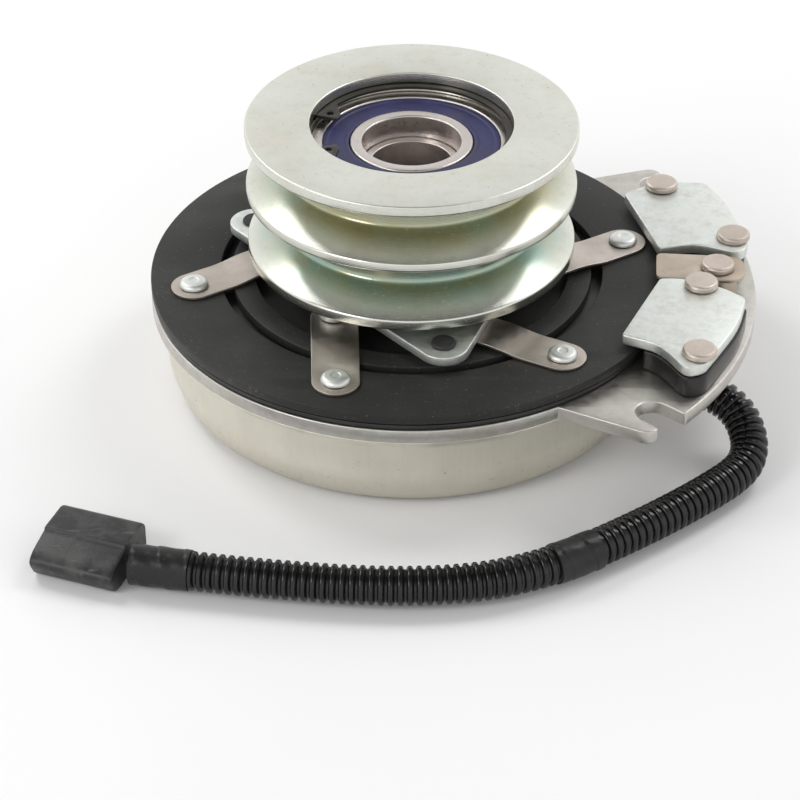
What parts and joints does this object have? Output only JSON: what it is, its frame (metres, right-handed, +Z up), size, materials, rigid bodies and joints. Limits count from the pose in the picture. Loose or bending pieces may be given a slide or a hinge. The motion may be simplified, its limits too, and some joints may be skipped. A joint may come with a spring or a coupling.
{
  "type": "electromagnetic clutch",
  "caption": "Electromagnetic clutch with a two-groove belt pulley on a sealed bearing, strap-sprung armature, brake plates, slotted torque bracket and a loomed lead.",
  "frame": {"origin": "shaft axis at the base of the field shell, the plane it stands on", "axes": "+Z up along the shaft axis towards the pulley, +X towards the torque bracket"},
  "size_m": [0.2534, 0.2408, 0.104],
  "materials": {
    "zinc": "yellow-tinted zinc plate",
    "nickel": "nickel plate",
    "bearing_steel": "ground steel",
    "spring_steel": "rolled spring steel",
    "tan_steel": "tempered steel",
    "satin_steel": "satin zinc-nickel plate",
    "black_metal": "black phosphate",
    "black_plastic": "moulded",
    "grey_plastic": "moulded",
    "loom_plastic": "corrugated split loom",
    "tape": "wound vinyl tape",
    "rubber": "moulded rubber",
    "blue_seal": "moulded seal",
    "brass": "stamped",
    "potting": "cast potting"
  },
  "bodies": {
    "field": {"field_shell": "satin_steel", "coil": "potting", "mounting_plate": "satin_steel", "brake_cover_rear": "zinc", "brake_cover_front": "zinc", "brake_block_rear": "black_plastic", "brake_block_front": "black_plastic", "cover_rivet_rear_1": "nickel", "cover_rivet_rear_2": "nickel", "cover_rivet_front_1": "nickel", "cover_rivet_front_2": "nickel", "centre_strap": "tan_steel", "centre_strap_rivet": "nickel", "centre_strap_bush": "bearing_steel", "field_bearing_outer_ring": "bearing_steel", "field_bearing_lower_seal": "blue_seal", "field_bearing_upper_seal": "blue_seal", "field_snap_ring": "black_metal", "wire_grommet": "rubber", "loom_upper": "loom_plastic", "loom_mid_tape": "tape", "loom_lower": "loom_plastic", "loom_end_tape": "tape", "connector_housing": "grey_plastic", "connector_terminal_1": "brass", "connector_terminal_2": "brass"},
    "field_cage": {"field_bearing_balls": "bearing_steel"},
    "rotor": {"rotor": "black_metal", "pulley_bearing_inner_ring": "bearing_steel", "field_bearing_inner_ring": "bearing_steel"},
    "pulley_cage": {"pulley_bearing_balls": "bearing_steel"},
    "pulley": {"pulley": "zinc", "drive_plate": "zinc", "bumper_1": "rubber", "bumper_2": "rubber", "bumper_3": "rubber", "leaf_strap_1": "spring_steel", "leaf_strap_2": "spring_steel", "leaf_strap_3": "spring_steel", "leaf_strap_4": "spring_steel", "leaf_strap_5": "spring_steel", "leaf_strap_6": "spring_steel", "inner_rivet_1": "zinc", "inner_rivet_2": "zinc", "inner_rivet_3": "zinc", "inner_rivet_4": "zinc", "inner_rivet_5": "zinc", "inner_rivet_6": "zinc", "pulley_bearing_outer_ring": "bearing_steel", "pulley_bearing_lower_seal": "blue_seal", "pulley_bearing_upper_seal": "blue_seal", "snap_ring": "black_metal"},
    "armature": {"armature_disc": "black_metal", "outer_rivet_1": "zinc", "outer_rivet_2": "zinc", "outer_rivet_3": "zinc", "outer_rivet_4": "zinc", "outer_rivet_5": "zinc", "outer_rivet_6": "zinc"}
  },
  "joints": [
    {"name": "rotor_spin", "type": "hinge", "parent": "field", "child": "rotor", "pos_m": [0, 0, 0.05], "axis": [0, 0, 1], "continuous": true},
    {"name": "field_cage_spin", "type": "hinge", "parent": "field", "child": "field_cage", "pos_m": [0, 0, 0.0105], "axis": [0, 0, 1], "continuous": true},
    {"name": "pulley_spin", "type": "hinge", "parent": "rotor", "child": "pulley", "pos_m": [0, 0, 0.088], "axis": [0, 0, 1], "continuous": true},
    {"name": "pulley_cage_spin", "type": "hinge", "parent": "rotor", "child": "pulley_cage", "pos_m": [0, 0, 0.088], "axis": [0, 0, 1], "continuous": true},
    {"name": "armature_slide", "type": "slide", "parent": "pulley", "child": "armature", "axis": [0, 0, -1], "range_m": [0, 0.0005], "stiffness_N_per_m": 60000, "springref_m": -0.0003, "deforming": ["leaf_strap_1", "leaf_strap_2", "leaf_strap_3", "leaf_strap_4", "leaf_strap_5", "leaf_strap_6"]}
  ],
  "couplings": [
    {"joint": "field_cage_spin", "follows": "rotor_spin", "ratio": 0.4},
    {"joint": "pulley_cage_spin", "follows": "pulley_spin", "ratio": 0.6}
  ]
}
